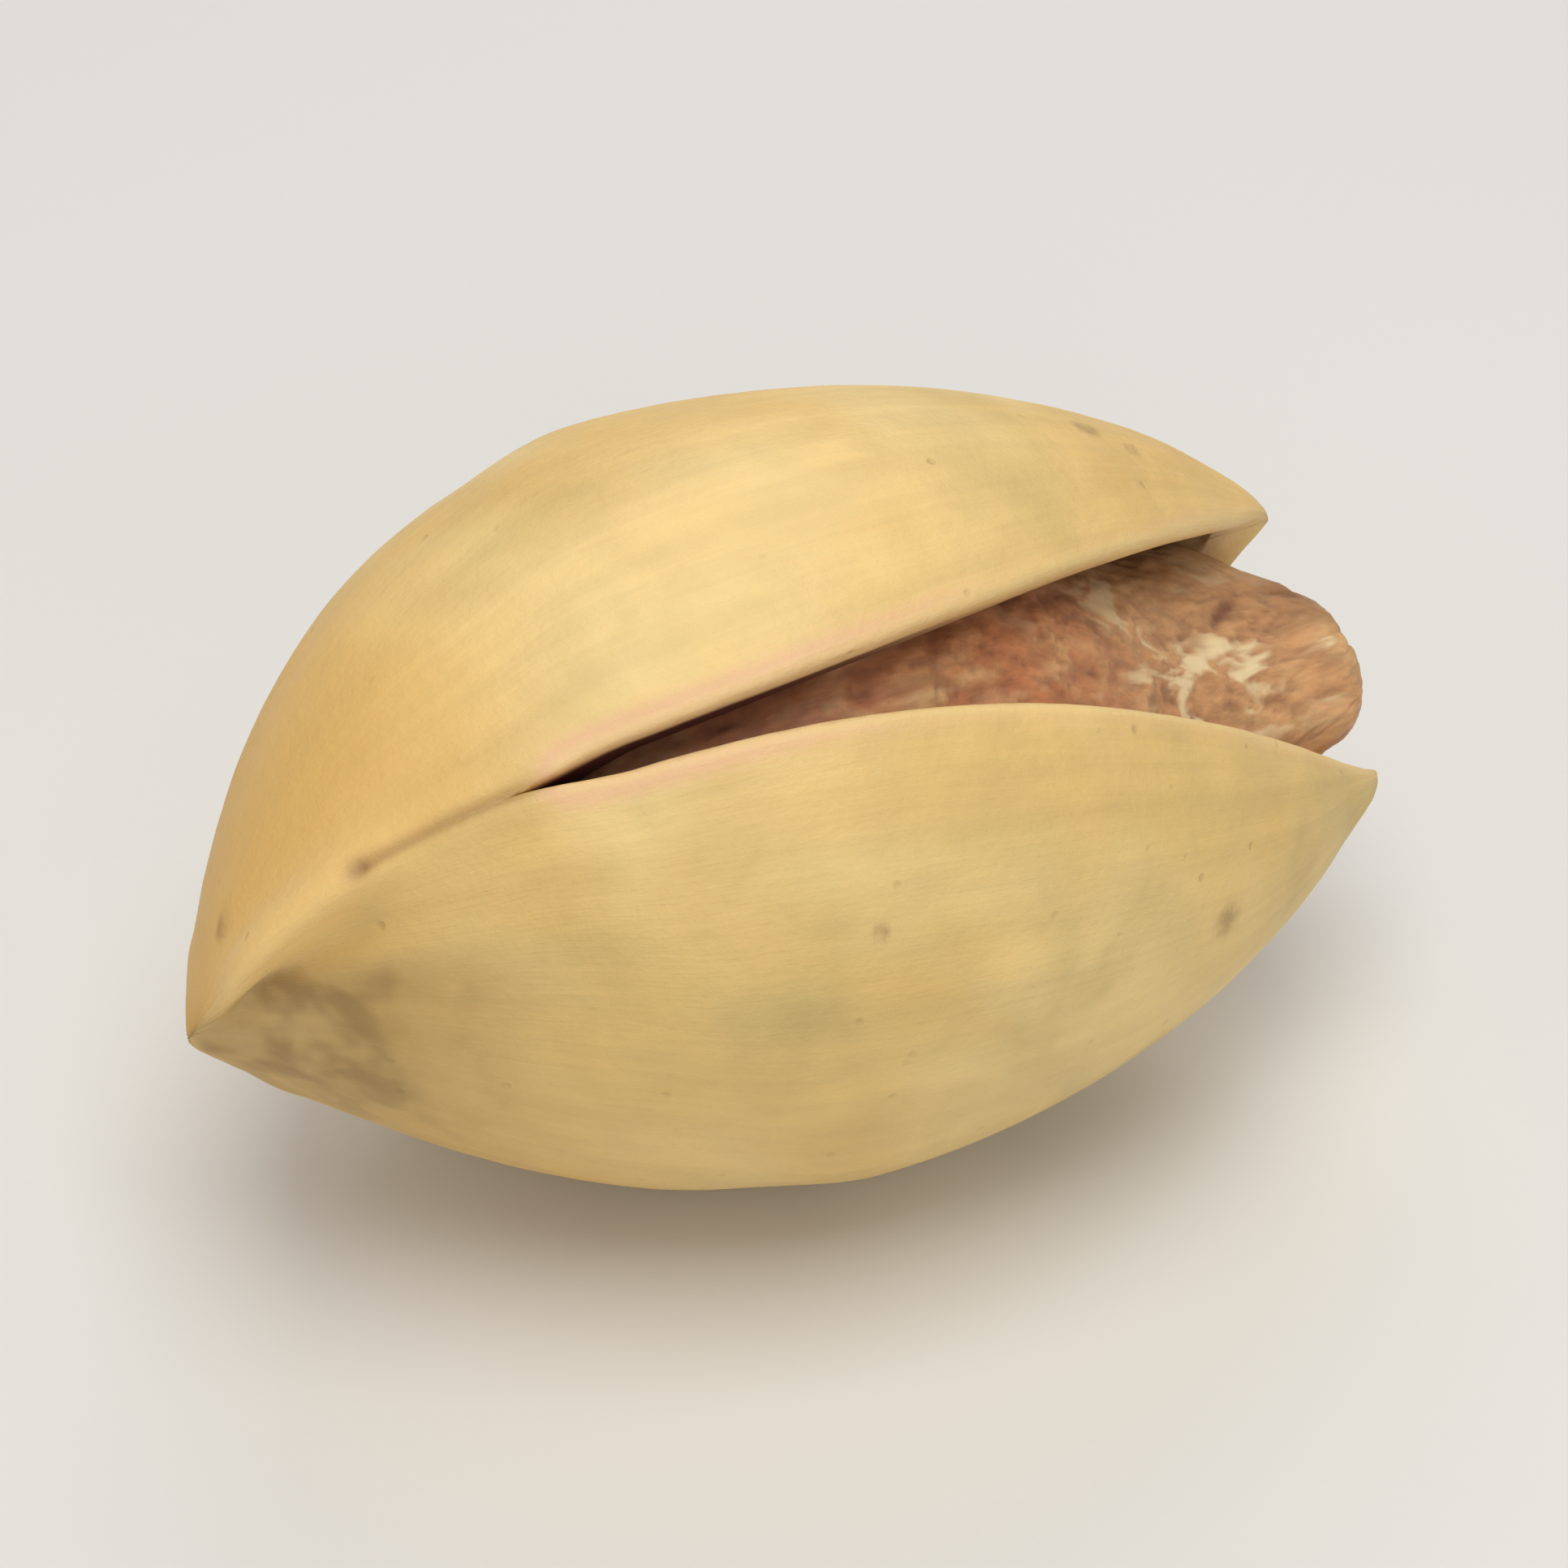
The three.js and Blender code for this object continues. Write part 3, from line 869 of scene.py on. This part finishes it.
def kernel_material(colours):
    paint = Paint("kernel_skin")
    place = paint.node("ShaderNodeTexCoord").outputs["Object"]
    streaky = paint.vector("MULTIPLY", place, (0.24, 1.0, 1.0))
    course = paint.attribute("course", "Vector")
    split_way, upper_way = paint.node("ShaderNodeSeparateXYZ", {0: course}).outputs[:2]
    along = paint.attribute("along")
    crest = paint.attribute("crest")

    # painted shade: the skin goes dark in the hollows of the wrinkles
    high = paint.between(crest, -0.38, 0.12)
    colour_now = paint.mix(high, colours.skin_hollow_shade, colours.skin_brown)
    # tan on the crests: the skin's lighter tone and a painted highlight on the wrinkles
    patch = paint.between(paint.noise(place, 420.0, 3.0, 0.6, 0.8), 0.36, 0.60)
    crest_tone_and_highlight = paint.times(paint.between(crest, -0.05, 0.35), patch, 0.95)
    colour_now = paint.mix(crest_tone_and_highlight, colour_now, colours.skin_tan)
    bare = paint.times(paint.between(along, 0.60, 0.82), paint.between(crest, -0.45, 0.0), 0.6)
    colour_now = paint.mix(bare, colour_now, colours.skin_tan)
    fine = paint.noise(streaky, 3400.0, 4.0, 0.65, 0.3)
    colour_now = paint.shaded(colour_now, paint.between(fine, 0.32, 0.68, 0.78, 1.16))

    # painted shade in the fine veins
    faint = paint.between(paint.noise(place, 500.0), 0.4, 0.6, 0.05, 0.4)
    vein = paint.times(paint.attribute("vein"), faint)
    colour_now = paint.mix(vein, colour_now, colours.skin_hollow_shade)
    worn = paint.between(paint.noise(streaky, 1100.0, 3.0, 0.6, 0.5), 0.51, 0.63)
    by_tip = paint.between(along, 0.62, 0.82, 0.15, 1.0)
    band = paint.between(split_way, -0.97, -0.7, 1.0, 0.25)
    colour_now = paint.mix(paint.times(worn, by_tip, band), colour_now, colours.skin_cream)
    # painted shade: darker brown on the side that faces the upper valve
    upper = paint.between(upper_way, 0.1, 0.6, 0.0, 0.45)
    paint.set("Base Color", paint.mix(upper, colour_now, colours.skin_valve_shade))

    rough = paint.noise(place, 900.0, 3.0, 0.6)
    paint.set("Roughness", paint.between(rough, 0.3, 0.7, 0.42, 0.66))
    paint.under_skin(0.1, (1.0, 0.4, 0.2), 0.6)
    paint.bump(paint.noise(place, 6500.0, 3.0, 0.6), 0.4, 0.05)
    return paint.material


class PISTACHIO_OT_kernel(bpy.types.Operator):
    """Grow the kernel in its wrinkled skin"""

    bl_idname = "pistachio.kernel"
    bl_label = "Kernel"

    def execute(self, context):
        settings = context.scene
        given = settings.pistachio_kernel
        skin = kernel_skin(in_mm(given), in_mm(settings.pistachio_shell), settings.pistachio_steps)
        piece = placed(skin.made("kernel_seed"), "kernel_seed")
        tree = kernel_tree(kernel_material(settings.pistachio_finishes))
        heights = {"Wrinkle height": given.wrinkle_height, "Crease height": given.crease_height}
        grown(piece, tree, heights)
        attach(piece, "root")
        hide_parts("kernel")
        return {"FINISHED"}


# ---------------------------------------------------------------- floor, light and camera
CAMERA_AZIMUTH = -25.5
CAMERA_ELEVATION = 38.0
CAMERA_DISTANCE = 0.072
CAMERA_LENS = 100
FLOOR_HALF = 0.6
ROOM_LIGHT = 0.40
LIGHTS = (  # name, place, width and height, power, tint
    ("key", (-0.008, -0.034, 0.17), (0.12, 0.12), 0.162, (1.0, 0.98, 0.94)),
    ("back", (0.06, 0.12, 0.11), (0.10, 0.06), 0.04, (1.0, 1.0, 1.0)),
    ("fill", (-0.05, -0.16, 0.07), (0.14, 0.10), 0.045, (1.0, 1.0, 1.0)),
)


def aim(item, target):
    item.rotation_euler = (Vector(target) - item.location).to_track_quat("-Z", "Y").to_euler()


def add_light(name, location, size, energy, tint, target):
    data = bpy.data.lights.new(name, "AREA")
    data.shape = "RECTANGLE"
    data.size, data.size_y = size
    data.energy = energy
    data.color = tint
    light = bpy.data.objects.new(name, data)
    light.location = location
    bpy.context.scene.collection.objects.link(light)
    aim(light, target)


class PISTACHIO_OT_stage(bpy.types.Operator):
    """Lay the floor and set the light and the camera"""

    bl_idname = "pistachio.stage"
    bl_label = "Floor, light and camera"

    def execute(self, context):
        scene = context.scene
        low, high = (Vector(corner) for corner in CAD_BOX)
        middle = (low + high) / 2

        data = bpy.data.meshes.new("floor")
        corners = [(-1, -1, 0), (1, -1, 0), (1, 1, 0), (-1, 1, 0)]
        data.from_pydata([Vector(corner) * FLOOR_HALF for corner in corners], [], [(0, 1, 2, 3)])
        floor = placed(data, "floor")
        paint = Paint("floor")
        paint.set("Base Color", (*scene.pistachio_finishes.floor, 1))
        paint.set("Roughness", 0.7)
        data.materials.append(paint.material)

        scene.world = bpy.data.worlds.new("soft_room")
        scene.world.use_nodes = True
        room = scene.world.node_tree.nodes["Background"]
        room.inputs["Color"].default_value = (1.0, 0.99, 0.97, 1)
        room.inputs["Strength"].default_value = ROOM_LIGHT
        for light in LIGHTS:
            add_light(*light, middle)
        scene.view_settings.view_transform = "Standard"

        azimuth, elevation = math.radians(CAMERA_AZIMUTH), math.radians(CAMERA_ELEVATION)
        level = math.cos(elevation)
        out = Vector((math.sin(azimuth) * level, -math.cos(azimuth) * level, math.sin(elevation)))
        camera = bpy.data.objects.new("camera", bpy.data.cameras.new("camera"))
        camera.data.lens = CAMERA_LENS
        camera.data.clip_start = 0.001
        camera.location = middle + out * CAMERA_DISTANCE
        bpy.context.scene.collection.objects.link(camera)
        aim(camera, middle)
        scene.camera = camera
        return {"FINISHED"}


class PISTACHIO_PT_panel(bpy.types.Panel):
    """The sizes, the colours and the pieces of the nut"""

    bl_label = "Pistachio in shell"
    bl_idname = "PISTACHIO_PT_panel"
    bl_space_type = "VIEW_3D"
    bl_region_type = "UI"
    bl_category = "Pistachio"

    def draw(self, context):
        for group in (
            context.scene.pistachio_shell,
            context.scene.pistachio_kernel,
            context.scene.pistachio_finishes,
            context.scene.pistachio_steps,
        ):
            box = self.layout.box()
            for name in own_fields(group):
                box.prop(group, name)
        for operator in OPERATORS:
            self.layout.operator(operator.bl_idname)


OPERATORS = (PISTACHIO_OT_shell, PISTACHIO_OT_kernel, PISTACHIO_OT_stage)
GROUPS = {
    "pistachio_shell": ShellSizes,
    "pistachio_kernel": KernelSizes,
    "pistachio_finishes": Finishes,
    "pistachio_steps": MeshSteps,
}


def register():
    for kind in (*GROUPS.values(), *OPERATORS, PISTACHIO_PT_panel):
        bpy.utils.register_class(kind)
    for name, kind in GROUPS.items():
        setattr(bpy.types.Scene, name, PointerProperty(type=kind))


def unregister():
    for name in GROUPS:
        delattr(bpy.types.Scene, name)
    for kind in reversed((*GROUPS.values(), *OPERATORS, PISTACHIO_PT_panel)):
        bpy.utils.unregister_class(kind)


def main():
    register()
    bpy.ops.pistachio.shell()
    bpy.ops.pistachio.kernel()
    bpy.ops.pistachio.stage()
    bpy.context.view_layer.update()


if __name__ == "__main__":
    main()
